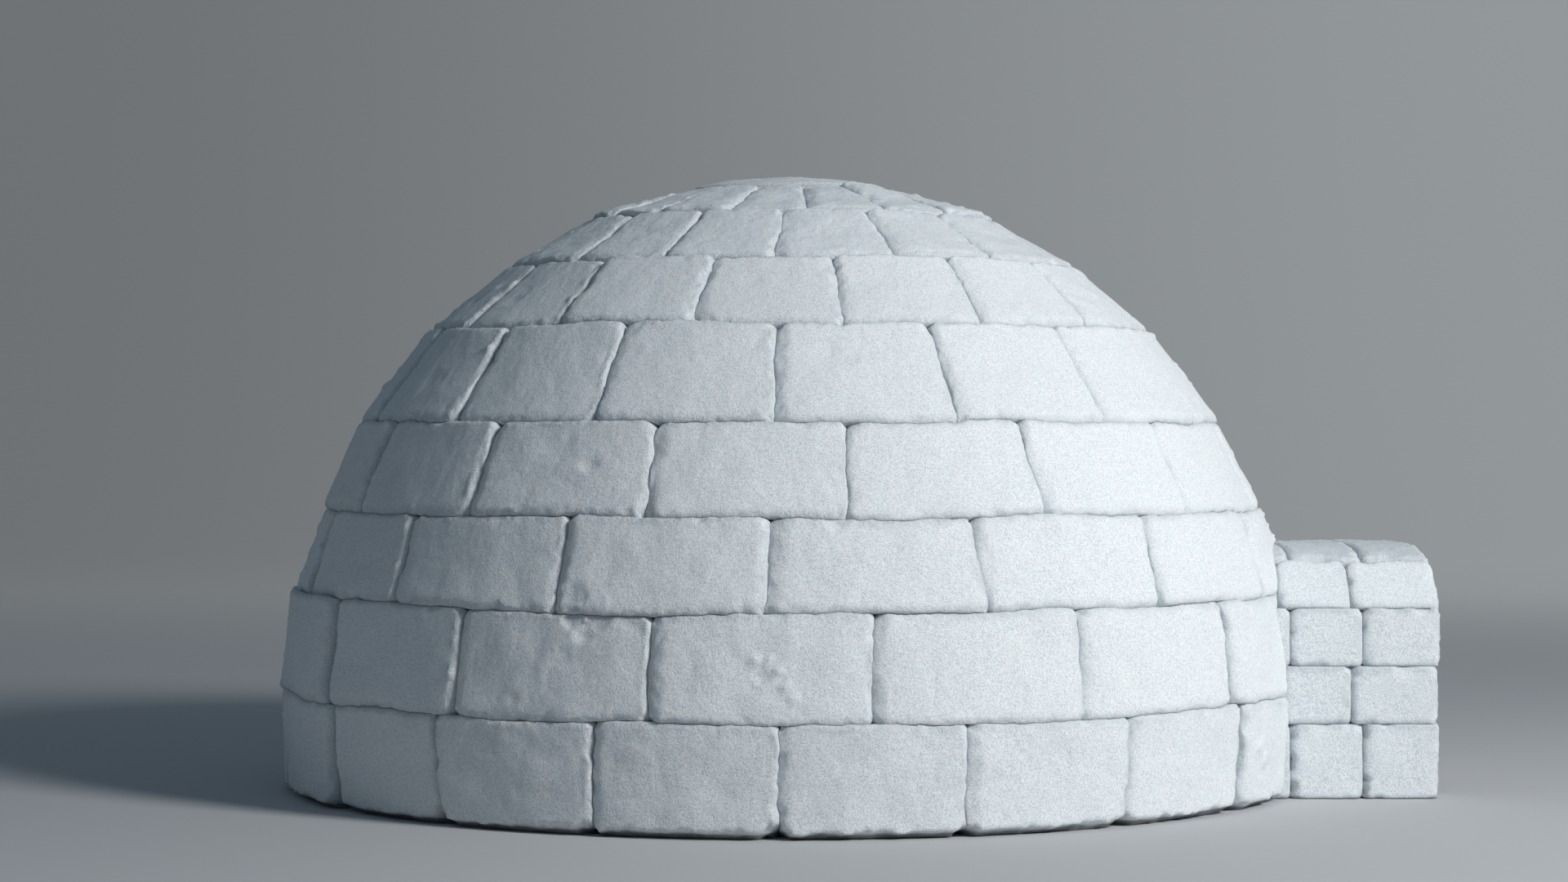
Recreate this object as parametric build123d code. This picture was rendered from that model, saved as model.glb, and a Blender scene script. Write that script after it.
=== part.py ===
from build123d import *
from functools import lru_cache
import math
import os
from typing import NamedTuple

# A snow igloo: a dome of staggered block courses closed by a king block, and a low
# tunnel of three block rings to crawl in by. The innermost ring runs through the
# dome's wall and makes its doorway. +Z is up and +X runs out through the tunnel's
# mouth. The ground is at Z = 0, and the origin is on it, under the middle of the plan.
# Lengths are in millimetres and angles in degrees. Bearings about the dome's axis run
# from -Y (the side view with the tunnel on the right) towards +X.

# The dome's outline is part of an ellipse that starts below its widest level.
DOME_RADIUS = 2000.0  # outside, at the widest level
WIDEST_LEVEL = 320.0  # height of the widest level above the ground
CROWN_RISE = 2085.0  # from the widest level up to the top of the king block
WALL_THICKNESS = 200.0  # of the dome's blocks, square to their outer face

# Joints between the blocks.
JOINT_GAP = 0.4  # clearance between two neighbouring faces
BED_ARRIS = 16.0  # worn back from every bed edge on the outside
SIDE_ARRIS = 11.0  # worn back from every upright edge on the outside
SAWN_OFF = 20.0  # depth sawn off the middle of each dome block's inner face

# The tunnel's cross-section, from its middle plane out to one side.
TUNNEL_HALF_WIDTH = 700.0  # outside, over the side walls
TUNNEL_THICKNESS = 200.0  # of the tunnel's blocks, square to their outer face
WALL_ROW_HEIGHTS = (283.0, 219.0, 225.0)  # of the upright rows, from the ground up
HAUNCH_RISE = 177.0  # height of the leaning row above the upright rows
HAUNCH_LEAN = 150.0  # how far the leaning row comes in
CROWN_CAMBER = 55.0  # how far the crown block's middle stands above its ends

# The tunnel's rings, measured back from the mouth towards the dome.
TUNNEL_REACH = 462.0  # from the dome's widest radius out to the mouth
MOUTH_RING_LENGTH = 322.0
PASSAGE_RING_LENGTH = 275.0
ROW_STAGGER = 22.0  # how far a row's ring joints lie from their mean plane

# Where the dome's rings are broken by the entrance.
ENTRANCE_BEARING = 90.0
LEAST_BLOCK_SHARE = 0.4  # of a whole block, for the block beside the entrance


class Course(NamedTuple):
    """One ring of the dome: its share of the outline and how its blocks are laid."""

    climb: float  # angle on the outline's ellipse from bed to bed
    blocks: int  # that a whole ring would have, all of one length
    first_joint: float  # bearing of the upright joint nearest to -Y

    @property
    def block_turn(self) -> float:
        """The angle about the axis that a block takes."""
        return 360 / self.blocks


COURSES = (
    Course(10.8, 19, -1.4),
    Course(10.6, 16, 8.2),
    Course(9.3, 16, -2.5),
    Course(10.4, 16, 6.2),
    Course(12.5, 16, -2.3),
    Course(11.0, 16, 7.5),
    Course(10.7, 16, -2.5),
    Course(11.8, 16, 5.2),
)

MOUTH_X = DOME_RADIUS + TUNNEL_REACH
PLAN_MIDDLE_X = (MOUTH_X - DOME_RADIUS) / 2


def along(start: Vector, end: Vector) -> Vector:
    """The unit vector from one point towards another."""
    return (end - start).normalized()


# ---------------------------------------------------------------- the dome's outline


def bed(angle: float, on_ground: bool) -> tuple[Vector, Vector]:
    """The outer and inner end of the bed at an ellipse angle, in the XZ half-plane."""
    across, up = math.cos(math.radians(angle)), math.sin(math.radians(angle))
    outer = Vector(DOME_RADIUS * across, 0, WIDEST_LEVEL + CROWN_RISE * up)
    inward = Vector(-across / DOME_RADIUS, 0, -up / CROWN_RISE).normalized()
    if on_ground:
        outer = Vector(outer.X, 0, 0)
        inward = Vector(-1, 0, 0)
    return outer, outer + inward * WALL_THICKNESS


def all_beds() -> list[tuple[Vector, Vector]]:
    """Every bed of the dome, from the ground up to the king block's seat."""
    angle = -math.degrees(math.asin(WIDEST_LEVEL / CROWN_RISE))
    beds = [bed(angle, on_ground=True)]
    for course in COURSES:
        angle += course.climb
        beds.append(bed(angle, on_ground=False))
    return beds


BEDS = all_beds()


# ------------------------------------------------------------------ the dome's blocks


def course_section(level: int) -> Face:
    """The upright section of one course's rough blocks, with worn outer edges."""
    (low_out, low_in), (high_out, high_in) = BEDS[level], BEDS[level + 1]
    low_in += along(low_out, low_in) * SAWN_OFF
    high_in += along(high_out, high_in) * SAWN_OFF
    up_out, up_in = along(low_out, high_out), along(low_in, high_in)
    if level > 0:
        low_out += up_out * (JOINT_GAP / 2)
        low_in += up_in * (JOINT_GAP / 2)
    high_out -= up_out * (JOINT_GAP / 2)
    high_in -= up_in * (JOINT_GAP / 2)
    corners = [
        low_in,
        low_out + along(low_out, low_in) * BED_ARRIS,
        low_out + up_out * BED_ARRIS,
        high_out - up_out * BED_ARRIS,
        high_out + along(high_out, high_in) * BED_ARRIS,
        high_in,
    ]
    return make_face(Polyline(*corners, close=True))


def inner_plane(level: int, turn: float) -> Plane:
    """The plane that a course's blocks are sawn to on the inside, at an angle about Z."""
    low_in, high_in = BEDS[level][1], BEDS[level + 1][1]
    up_in = along(low_in, high_in)
    inward = Vector(-up_in.Z, 0, up_in.X)
    return Plane(
        origin=low_in.rotate(Axis.Z, turn), z_dir=inward.rotate(Axis.Z, turn)
    )


def side_plane(level: int, turn: float, way: int) -> Plane:
    """The plane that wears the outer edge of a block's side, at an angle about Z.

    way is 1 where the block lies before that side, and -1 where it lies after it.
    """
    low_out, high_out = BEDS[level][0], BEDS[level + 1][0]
    up_out = along(low_out, high_out)
    outward = Vector(up_out.Z, 0, -up_out.X)
    edge = low_out - outward * SIDE_ARRIS
    facing = outward + Vector(0, way, 0)
    return Plane(origin=edge.rotate(Axis.Z, turn), z_dir=facing.rotate(Axis.Z, turn))


@lru_cache(maxsize=None)
def dome_block(level: int, turn: float) -> Solid:
    """One block of a course that takes an angle about Z, and starts in the XZ plane."""
    middle_radius = (BEDS[level][1].X + BEDS[level + 1][1].X) / 2
    inset = math.degrees(JOINT_GAP / 2 / middle_radius)
    span = turn - 2 * inset
    block = revolve(course_section(level), Axis.Z, span)
    planes = (
        inner_plane(level, span / 2),
        side_plane(level, 0, -1),
        side_plane(level, span, 1),
    )
    for plane in planes:
        block = split(block, bisect_by=plane, keep=Keep.BOTTOM)
    return block.rotate(Axis.Z, inset).solid()


def king_block() -> Solid:
    """The round plug that closes the dome's top."""
    seat_out, seat_in = BEDS[-1]
    top = Vector(0, 0, WIDEST_LEVEL + CROWN_RISE)
    inward = along(seat_out, top)
    seat_out += inward * JOINT_GAP
    seat_in -= Vector(JOINT_GAP, 0, 0)
    rim = seat_out + inward * BED_ARRIS
    rise = top.Z - rim.Z
    cap_radius = (rim.X**2 + rise**2) / (2 * rise)
    half_turn = math.asin(rim.X / cap_radius) / 2
    flank = Vector(math.sin(half_turn), 0, math.cos(half_turn) - 1) * cap_radius
    cap = ThreePointArc(rim, top + flank, top)
    shank = seat_out + along(seat_out, seat_in) * BED_ARRIS
    rest = Polyline(top, (0, 0, seat_in.Z), seat_in, shank, rim)
    return revolve(make_face([cap, rest]), Axis.Z, 360).solid()


# ---------------------------------------------------- the dome's rings at the entrance


def springing() -> float:
    """Height of the top of the tunnel's upright rows."""
    return sum(WALL_ROW_HEIGHTS)


def tunnel_top() -> float:
    """Height of the crown block's highest line."""
    return springing() + HAUNCH_RISE + CROWN_CAMBER


def entrance_cut() -> Solid:
    """The space that the tunnel takes out of the dome's wall."""
    side = TUNNEL_HALF_WIDTH + JOINT_GAP
    low = springing() + JOINT_GAP
    high = springing() + HAUNCH_RISE + JOINT_GAP
    shoulder = side - HAUNCH_LEAN
    crown = ThreePointArc(
        (0, shoulder, high), (0, 0, high + CROWN_CAMBER), (0, -shoulder, high)
    )
    rest = Polyline(
        (0, -shoulder, high),
        (0, -side, low),
        (0, -side, -JOINT_GAP),
        (0, side, -JOINT_GAP),
        (0, side, low),
        (0, shoulder, high),
    )
    return extrude(make_face([crown, rest]), MOUTH_X, dir=(1, 0, 0)).solid()


def joints_of(course: Course) -> list[float]:
    """Bearings of a course's upright joints, from the far side round to it again."""
    first = course.first_joint - course.block_turn * (course.blocks // 2)
    return [first + course.block_turn * place for place in range(course.blocks)]


def course_blocks(level: int) -> list[Solid]:
    """Every block of one course, cut to the tunnel where that goes through the ring."""
    course = COURSES[level]
    low, high = BEDS[level][0], BEDS[level + 1][0]
    joints = joints_of(course)
    ends_of_ring = []
    if high.Z < tunnel_top():
        half_gap = math.degrees(math.asin(TUNNEL_HALF_WIDTH / low.X))
        clear = half_gap + LEAST_BLOCK_SHARE * course.block_turn
        under = math.degrees(
            math.asin((TUNNEL_HALF_WIDTH - 4 * SIDE_ARRIS) / DOME_RADIUS)
        )
        joints = [at for at in joints if abs(at - ENTRANCE_BEARING) >= clear]
        ends_of_ring = [ENTRANCE_BEARING - under, ENTRANCE_BEARING + under]

    starts = sorted(joints + ends_of_ring)
    spans = zip(starts, starts[1:] + [starts[0] + 360])
    blocks = [
        dome_block(level, round(end - start, 6)).rotate(Axis.Z, start - 90)
        for start, end in spans
        if [start, end] != ends_of_ring
    ]
    if BEDS[level][1].Z < tunnel_top():
        cut = entrance_cut()
        reach = cut.bounding_box()
        blocks = [
            (block - cut).solid() if reach.overlaps(block.bounding_box()) else block
            for block in blocks
        ]
    return blocks


# ------------------------------------------------------------------ the tunnel's rings


def wall_row_levels() -> list[float]:
    """Heights of the upright rows' beds on the outside, from the ground up."""
    levels = [0.0]
    for height in WALL_ROW_HEIGHTS:
        levels.append(levels[-1] + height)
    return levels


def haunch_corners() -> tuple[Vector, Vector, Vector, Vector]:
    """The +Y leaning row's corners in the YZ plane: low outer, high outer, high inner
    and low inner."""
    low_out = Vector(0, TUNNEL_HALF_WIDTH, springing())
    high_out = Vector(0, TUNNEL_HALF_WIDTH - HAUNCH_LEAN, springing() + HAUNCH_RISE)
    up = along(low_out, high_out)
    start = low_out + Vector(0, -up.Z, up.Y) * TUNNEL_THICKNESS
    inner_side = TUNNEL_HALF_WIDTH - TUNNEL_THICKNESS
    low_in = start + up * ((inner_side - start.Y) / up.Y)
    soffit = high_out.Z - TUNNEL_THICKNESS
    high_in = start + up * ((soffit - start.Z) / up.Z)
    return low_out, high_out, high_in, low_in


def row_corners(row: int) -> list[Vector]:
    """One +Y row's corners in the YZ plane, in the order that haunch_corners has."""
    low_out, high_out, high_in, low_in = haunch_corners()
    if row == len(WALL_ROW_HEIGHTS):
        return [low_out, high_out, high_in, low_in]
    inner_side = TUNNEL_HALF_WIDTH - TUNNEL_THICKNESS
    low, high = wall_row_levels()[row : row + 2]
    is_top_row = row == len(WALL_ROW_HEIGHTS) - 1
    return [
        Vector(0, TUNNEL_HALF_WIDTH, low),
        Vector(0, TUNNEL_HALF_WIDTH, high),
        low_in if is_top_row else Vector(0, inner_side, high),
        Vector(0, inner_side, low),
    ]


def row_section(row: int) -> Face:
    """One +Y row's section, with worn outer edges and a gap at each bed."""
    low_out, high_out, high_in, low_in = row_corners(row)
    up_out, up_in = along(low_out, high_out), along(low_in, high_in)
    if row > 0:
        low_out += up_out * (JOINT_GAP / 2)
        low_in += up_in * (JOINT_GAP / 2)
    high_out -= up_out * (JOINT_GAP / 2)
    high_in -= up_in * (JOINT_GAP / 2)
    corners = [
        low_in,
        low_out + along(low_out, low_in) * BED_ARRIS,
        low_out + up_out * BED_ARRIS,
        high_out - up_out * BED_ARRIS,
        high_out + along(high_out, high_in) * BED_ARRIS,
        high_in,
    ]
    return make_face(Polyline(*corners, close=True))


def crown_section() -> Face:
    """The crown block's section: a flat soffit under a cambered top."""
    _, high_out, high_in, _ = haunch_corners()
    side_out = high_out - Vector(0, JOINT_GAP / 2, 0)
    side_in = high_in - Vector(0, JOINT_GAP / 2, 0)
    shoulder = side_out - Vector(0, BED_ARRIS, 0)
    hip = side_out + along(side_out, side_in) * BED_ARRIS
    top = ThreePointArc(
        shoulder, (0, 0, tunnel_top()), (0, -shoulder.Y, shoulder.Z)
    )
    rest = Polyline(
        shoulder,
        hip,
        side_in,
        (0, -side_in.Y, side_in.Z),
        (0, -hip.Y, hip.Z),
        (0, -shoulder.Y, shoulder.Z),
    )
    return make_face([top, rest])


def ring_planes(row: int) -> list[float]:
    """X of a row's four ends: in the room, at the two ring joints, and at the mouth.

    The inner ends come just far enough into the room to close the cut in the wall.
    """
    is_crown = row > len(WALL_ROW_HEIGHTS)
    steps = 2 if is_crown else 1 - 2 * (row % 2)
    mouth_joint = MOUTH_X - MOUTH_RING_LENGTH + ROW_STAGGER * steps
    door_joint = mouth_joint - PASSAGE_RING_LENGTH
    room_end = math.sqrt((DOME_RADIUS - WALL_THICKNESS) ** 2 - TUNNEL_HALF_WIDTH**2)
    return [room_end, door_joint, mouth_joint, MOUTH_X]


def tunnel_block(section: Face, row: int, ring: int) -> Solid:
    """One block of a ring, extruded between that row's ring joints."""
    start, end = ring_planes(row)[ring : ring + 2]
    start += JOINT_GAP / 2
    if end < MOUTH_X:
        end -= JOINT_GAP / 2
    block = extrude(section, end - start, dir=(1, 0, 0)).moved(Location((start, 0, 0)))
    return block.solid()


# ----------------------------------------------------------------------- the sub-parts

RING_NAMES = ("doorway", "passage", "mouth")
ROW_NAMES = ("base_block", "middle_block", "upper_block", "haunch_block")


def dome_parts() -> dict[str, list[Solid]]:
    """The dome's nodes: one for each course, and the king block."""
    parts = {
        f"dome_course_{level + 1}": course_blocks(level) for level in range(len(COURSES))
    }
    parts["dome_king_block"] = [king_block()]
    return parts


def tunnel_parts() -> dict[str, list[Solid]]:
    """The tunnel's nodes: every block of its three rings."""
    parts = {}
    for ring, ring_name in enumerate(RING_NAMES):
        for row, row_name in enumerate(ROW_NAMES):
            block = tunnel_block(row_section(row), row, ring)
            parts[f"{ring_name}_{row_name}_left"] = [block]
            parts[f"{ring_name}_{row_name}_right"] = [mirror(block, about=Plane.XZ).solid()]
        crown = tunnel_block(crown_section(), len(ROW_NAMES), ring)
        parts[f"{ring_name}_crown_block"] = [crown]
    return parts


def export_parts() -> None:
    """Writes every node about the origin under the middle of the plan."""
    os.makedirs("parts", exist_ok=True)
    to_origin = Location((-PLAN_MIDDLE_X, 0, 0))
    for name, solids in {**dome_parts(), **tunnel_parts()}.items():
        placed = [solid.moved(to_origin) for solid in solids]
        shape = placed[0] if len(placed) == 1 else Compound(children=placed)
        shape.label = name
        export_step(shape, f"parts/{name}.step")


export_parts()
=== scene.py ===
"""Dresses the snow igloo: worn snow blocks in a dome and a low entrance tunnel."""

import logging
import math
import random
from collections.abc import Callable, Iterable
from dataclasses import dataclass, field
from enum import Enum

import bmesh
import bpy
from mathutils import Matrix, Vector, noise


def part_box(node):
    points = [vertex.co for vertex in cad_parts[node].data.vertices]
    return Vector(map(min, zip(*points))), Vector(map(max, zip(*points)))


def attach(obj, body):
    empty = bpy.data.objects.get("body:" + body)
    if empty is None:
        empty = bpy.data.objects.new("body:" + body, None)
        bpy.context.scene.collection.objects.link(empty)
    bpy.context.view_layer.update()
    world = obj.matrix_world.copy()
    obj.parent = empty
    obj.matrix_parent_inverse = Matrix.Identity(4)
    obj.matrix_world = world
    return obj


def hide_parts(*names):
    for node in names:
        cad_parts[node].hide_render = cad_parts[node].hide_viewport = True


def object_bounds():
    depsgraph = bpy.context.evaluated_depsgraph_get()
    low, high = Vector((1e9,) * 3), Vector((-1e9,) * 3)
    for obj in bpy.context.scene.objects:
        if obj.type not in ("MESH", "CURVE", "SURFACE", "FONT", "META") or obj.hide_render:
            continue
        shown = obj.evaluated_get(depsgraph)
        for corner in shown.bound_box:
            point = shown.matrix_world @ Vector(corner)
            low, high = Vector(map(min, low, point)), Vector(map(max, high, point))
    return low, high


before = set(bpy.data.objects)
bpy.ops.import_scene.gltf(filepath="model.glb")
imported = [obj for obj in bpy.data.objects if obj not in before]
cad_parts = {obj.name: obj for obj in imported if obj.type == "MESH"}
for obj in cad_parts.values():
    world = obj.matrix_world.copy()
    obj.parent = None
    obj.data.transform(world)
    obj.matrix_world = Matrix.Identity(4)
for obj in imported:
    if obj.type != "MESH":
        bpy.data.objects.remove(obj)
CAD_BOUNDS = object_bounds()

LOG = logging.getLogger("igloo")

Placer = Callable[[Vector], Vector]
Span = tuple[float, float]
Tint = tuple[float, float, float]

SAME_PLACE = 1e-5
SPIN_STEPS = 96


# --------------------------------------------------------------------------- helpers


def mix(low: float, high: float, share: float) -> float:
    """The value a share of the way from low to high."""
    return low + (high - low) * share


def held(value: float, low: float, high: float) -> float:
    """A value held between two limits."""
    return min(max(value, low), high)


def eased(value: float, start: float, end: float) -> float:
    """A smooth step: 0 before start, 1 after end."""
    share = held((value - start) / (end - start), 0.0, 1.0)
    return share * share * (3 - 2 * share)


def kept_in(value: float, limit: float, settling: float) -> float:
    """Eases a distance off before a limit, so that relief flattens but stays.

    Args:
        value: The distance.
        limit: What it never passes.
        settling: How far before the limit the easing starts.

    Returns:
        The eased distance.
    """
    over = value - (limit - settling)
    if over <= 0.0:
        return value
    return limit - settling * math.exp(-over / settling)


def wander(point: Vector, per_metre: float, seed: float) -> float:
    """Smooth noise between about -1 and 1, with so many waves a metre."""
    return noise.noise(point * per_metre + Vector((seed, 1.7 * seed, -seed)))


@dataclass(frozen=True)
class Wave:
    """One layer of unevenness: its size, its waves in a metre, and a key of its own."""

    size: float
    per_metre: float
    key: float = 0.0

    def read(self, point: Vector, seed: float) -> float:
        """The layer's height at a point."""
        return self.size * wander(point, self.per_metre, seed + self.key)


Waves = tuple[Wave, ...]


def uneven(point: Vector, waves: Waves, seed: float, start: float = 0.0) -> float:
    """Several layers at a point, added to a start."""
    return sum((wave.read(point, seed) for wave in waves), start)


def own_number(name: str) -> float:
    """A number of a block's own, worked out from its name."""
    return sum((at + 1) * ord(letter) for at, letter in enumerate(name)) % 997 / 3.7


def turned_back(bearing: float) -> float:
    """A bearing between -180 and 180 degrees."""
    return (bearing + 180) % 360 - 180


def stations(length: float, margin: Iterable[float], step: float) -> list[float]:
    """Grid lines along a block's side, closer together near its two ends.

    Args:
        length: The side's length.
        margin: Distances of the close lines from each end, the end itself included.
        step: Spacing of the lines between.

    Returns:
        The lines' distances from one end, in order.
    """
    close = [line for line in margin if line < length / 2.2]
    inner = length - 2 * close[-1]
    count = max(1, round(inner / step))
    middle = [close[-1] + inner * place / count for place in range(1, count)]
    return close + middle + [length - line for line in reversed(close)]


def spin(mesh: bmesh.types.BMesh, profile: list[Vector]) -> None:
    """Spins a profile a full turn round Z into smooth faces.

    Args:
        mesh: The mesh that gets the shape, empty until now.
        profile: The outline's points in the XZ plane.
    """
    verts = [mesh.verts.new(point) for point in profile]
    edges = [mesh.edges.new(pair) for pair in zip(verts, verts[1:])]
    bmesh.ops.spin(
        mesh,
        geom=verts + edges,
        cent=(0, 0, 0),
        axis=(0, 0, 1),
        angle=math.tau,
        steps=SPIN_STEPS,
        use_merge=True,
    )
    bmesh.ops.remove_doubles(mesh, verts=mesh.verts[:], dist=SAME_PLACE)
    bmesh.ops.recalc_face_normals(mesh, faces=mesh.faces[:])
    for face in mesh.faces:
        face.smooth = True


def in_scene(name: str, data: bpy.types.ID) -> bpy.types.Object:
    """Puts a mesh, light or camera into the scene.

    Args:
        name: The new object's name.
        data: What it shows.

    Returns:
        The new object, at the origin.
    """
    placed = bpy.data.objects.new(name, data)
    bpy.context.scene.collection.objects.link(placed)
    return placed


def mesh_object(
    name: str, mesh: bmesh.types.BMesh, material: bpy.types.Material
) -> bpy.types.Object:
    """Makes a mesh an object of the scene.

    Args:
        name: The object's name.
        mesh: Its mesh, which is used up.
        material: Its finish.

    Returns:
        The new object.
    """
    data = bpy.data.meshes.new(name)
    mesh.to_mesh(data)
    mesh.free()
    data.materials.append(material)
    return in_scene(name, data)


# -------------------------------------------------------------------------- finishes


class Recipe:
    """A material in the making. Its nodes read the object's own coordinates."""

    def __init__(self, name: str) -> None:
        """Starts the material with its shader and coordinates.

        Args:
            name: The material's name.
        """
        self.material = bpy.data.materials.new(name)
        self.material.use_nodes = True
        self.tree = self.material.node_tree
        self.shader = self.tree.nodes["Principled BSDF"]
        self.place = self.add("TexCoord", {}).outputs["Object"]

    def feed(self, node: bpy.types.Node, inputs: dict[str | int, object]) -> None:
        """Fills a node's inputs.

        Args:
            node: The node.
            inputs: For each input, its value or the output that is linked to it.
        """
        for key, source in inputs.items():
            if isinstance(source, bpy.types.NodeSocket):
                self.tree.links.new(source, node.inputs[key])
            else:
                node.inputs[key].default_value = source

    def add(
        self, kind: str, inputs: dict[str | int, object], **settings: str
    ) -> bpy.types.Node:
        """Adds a node.

        Args:
            kind: Its type's name, without the word ShaderNode.
            inputs: Its inputs, as for feed.
            settings: Its other settings.

        Returns:
            The node.
        """
        node = self.tree.nodes.new(f"ShaderNode{kind}")
        for setting, value in settings.items():
            setattr(node, setting, value)
        self.feed(node, inputs)
        return node

    def attribute(self, name: str) -> bpy.types.NodeSocket:
        """Reads one of the mesh's own attributes."""
        return self.add("Attribute", {}, attribute_name=name).outputs["Fac"]

    def times(
        self, first: bpy.types.NodeSocket, second: bpy.types.NodeSocket
    ) -> bpy.types.NodeSocket:
        """Multiplies two values."""
        return self.add("Math", {0: first, 1: second}, operation="MULTIPLY").outputs["Value"]

    def tones(
        self, share: bpy.types.NodeSocket, stops: tuple[tuple[float, Tint], ...]
    ) -> bpy.types.NodeSocket:
        """Turns a value into a colour.

        Args:
            share: The value.
            stops: Two values and the tints they give.

        Returns:
            The colour.
        """
        node = self.add("ValToRGB", {"Fac": share})
        for element, (position, tint) in zip(node.color_ramp.elements, stops):
            element.position = position
            element.color = (*tint, 1.0)
        return node.outputs["Color"]

    def ramp(
        self, value: bpy.types.NodeSocket, span: Span, levels: Span, **settings: str
    ) -> bpy.types.NodeSocket:
        """Maps a span of a value to a span of levels.

        Args:
            value: The value.
            span: Its two ends.
            levels: What they become.
            settings: The node's other settings.

        Returns:
            The mapped value.
        """
        inputs = {
            "Value": value,
            "From Min": span[0],
            "From Max": span[1],
            "To Min": levels[0],
            "To Max": levels[1],
        }
        return self.add("MapRange", inputs, **settings).outputs["Result"]


@dataclass(frozen=True)
class Grain:
    """A noise pattern in the snow, and how strong and deep it is as relief."""

    per_metre: float
    detail: float
    roughness: float
    strength: float
    depth: float


@dataclass(frozen=True)
class SnowFinish:
    """Wind-packed snow: white, faintly blue, grainy, with light let in at the edges, and with
    shade painted into its joints and at its foot.
    """

    name: str
    tint: Tint = (0.88, 0.93, 0.95)
    shade_tint: Tint = (0.63, 0.68, 0.71)
    joint_shade_tint: Tint = (0.62, 0.67, 0.70)
    foot_shade_tint: Tint = (0.27, 0.29, 0.31)
    tone_span: Span = (0.38, 0.57)
    crust_share: float = 0.15
    clods: Grain = Grain(34.0, 2.0, 0.5, 0.42, 0.005)
    crumbs: Grain = Grain(70.0, 4.0, 0.75, 0.8, 0.010)
    crust: Grain = Grain(110.0, 3.0, 0.65, 0.22, 0.0018)
    fine: Grain = Grain(190.0, 2.0, 0.6, 0.9, 0.0020)
    crystals_per_metre: float = 420.0
    crystal_span: Span = (0.965, 0.985)
    gloss: Span = (0.68, 0.12)
    glow: float = 0.25
    glow_depth: float = 0.012
    glow_reach: Tint = (0.8, 0.92, 1.0)
    specular: float = 0.35
    ice_ior: float = 1.31

    def material(self) -> bpy.types.Material:
        """Makes the node material.

        Returns:
            The finished material.
        """
        recipe = Recipe(self.name)
        heights = {}
        for grain in (self.clods, self.crumbs, self.crust, self.fine):
            inputs = {
                "Vector": recipe.place,
                "Scale": grain.per_metre,
                "Detail": grain.detail,
                "Roughness": grain.roughness,
            }
            heights[grain] = recipe.add("TexNoise", inputs).outputs["Fac"]
        # The crumb noise, weighted by the frost attribute, roughens the joints as bumps and also
        # sets where shade is painted into them.
        crumbs_and_shade = recipe.times(recipe.attribute("frost"), heights[self.crumbs])
        heights[self.crumbs] = crumbs_and_shade

        blend = recipe.add(
            "Mix", {"Factor": self.crust_share, "A": heights[self.fine], "B": heights[self.crust]}
        )
        stops = tuple(zip(self.tone_span, (self.shade_tint, self.tint)))
        colour = recipe.tones(blend.outputs["Result"], stops)
        # Painted shade: a darker tint in the joints and along the edges, mottled by the crumb
        # noise, and a dark tint at the foot of the ground course, where its undercut lies in
        # shade.
        for share, tint in (
            (crumbs_and_shade, self.joint_shade_tint),
            (recipe.attribute("foot"), self.foot_shade_tint),
        ):
            inputs = {"Fac": share, "Color1": colour, "Color2": (*tint, 1.0)}
            colour = recipe.add("MixRGB", inputs).outputs["Color"]

        crystals = recipe.add(
            "TexVoronoi", {"Vector": recipe.place, "Scale": self.crystals_per_metre}
        )
        parts = recipe.add("SeparateColor", {"Color": crystals.outputs["Color"]})
        gloss = recipe.ramp(parts.outputs["Red"], self.crystal_span, self.gloss)

        normal = {}
        for grain, height in heights.items():
            inputs = {"Strength": grain.strength, "Distance": grain.depth, "Height": height}
            bump = recipe.add("Bump", inputs | normal)
            normal = {"Normal": bump.outputs["Normal"]}
        recipe.shader.subsurface_method = "RANDOM_WALK"
        finish = {
            "Base Color": colour,
            "Roughness": gloss,
            "Subsurface Weight": self.glow,
            "Subsurface Radius": self.glow_reach,
            "Subsurface Scale": self.glow_depth,
            "Specular IOR Level": self.specular,
            "IOR": self.ice_ior,
        }
        recipe.feed(recipe.shader, finish | normal)
        return recipe.material


@dataclass(frozen=True)
class StudioFinish:
    """A matt studio sweep: pale underfoot, darker further off as painted shade, and glowing
    further off as painted light, brighter towards +X on the key light's side.
    """

    name: str
    near_tint: Tint = (0.55, 0.56, 0.575)
    far_tint: Tint = (0.12, 0.122, 0.126)
    glow_tint: Tint = (0.92, 0.975, 1.0)
    fade: Span = (1.5, 17.0)
    glow_span: Span = (-11.0, 11.0)
    glow: Span = (0.145, 0.29)
    roughness: float = 0.9
    specular: float = 0.1

    def material(self) -> bpy.types.Material:
        """Makes the node material.

        Returns:
            The finished material.
        """
        recipe = Recipe(self.name)
        parts = recipe.add("SeparateXYZ", {"Vector": recipe.place}).outputs
        smooth = {"interpolation_type": "SMOOTHSTEP"}
        distance = recipe.ramp(parts["Y"], self.fade, (0.0, 1.0), **smooth)
        glow = recipe.ramp(parts["X"], self.glow_span, self.glow, **smooth)
        # Painted shade: the floor's colour darkens with distance along Y, from the near tint to
        # the far tint.
        stops = ((0.0, self.near_tint), (1.0, self.far_tint))
        finish = {
            "Base Color": recipe.tones(distance, stops),
            "Roughness": self.roughness,
            "Specular IOR Level": self.specular,
            # Painted light: the far floor and the backdrop glow, from nothing near by to most far
            # off, and brighter towards +X, the key light's side, though there is no lamp.
            "Emission Color": (*self.glow_tint, 1.0),
            "Emission Strength": recipe.times(distance, glow),
        }
        recipe.feed(recipe.shader, finish)
        return recipe.material


# ------------------------------------------------------------------------ one block


CHIP_RIM = (Wave(0.45, 17.0), Wave(0.22, 52.0))
CHIP_STRAY = 0.67
CHIP_RIPPLE = Wave(0.5, 33.0, 4.0)
LUMP_SOFTNESS = 2.0


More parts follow.
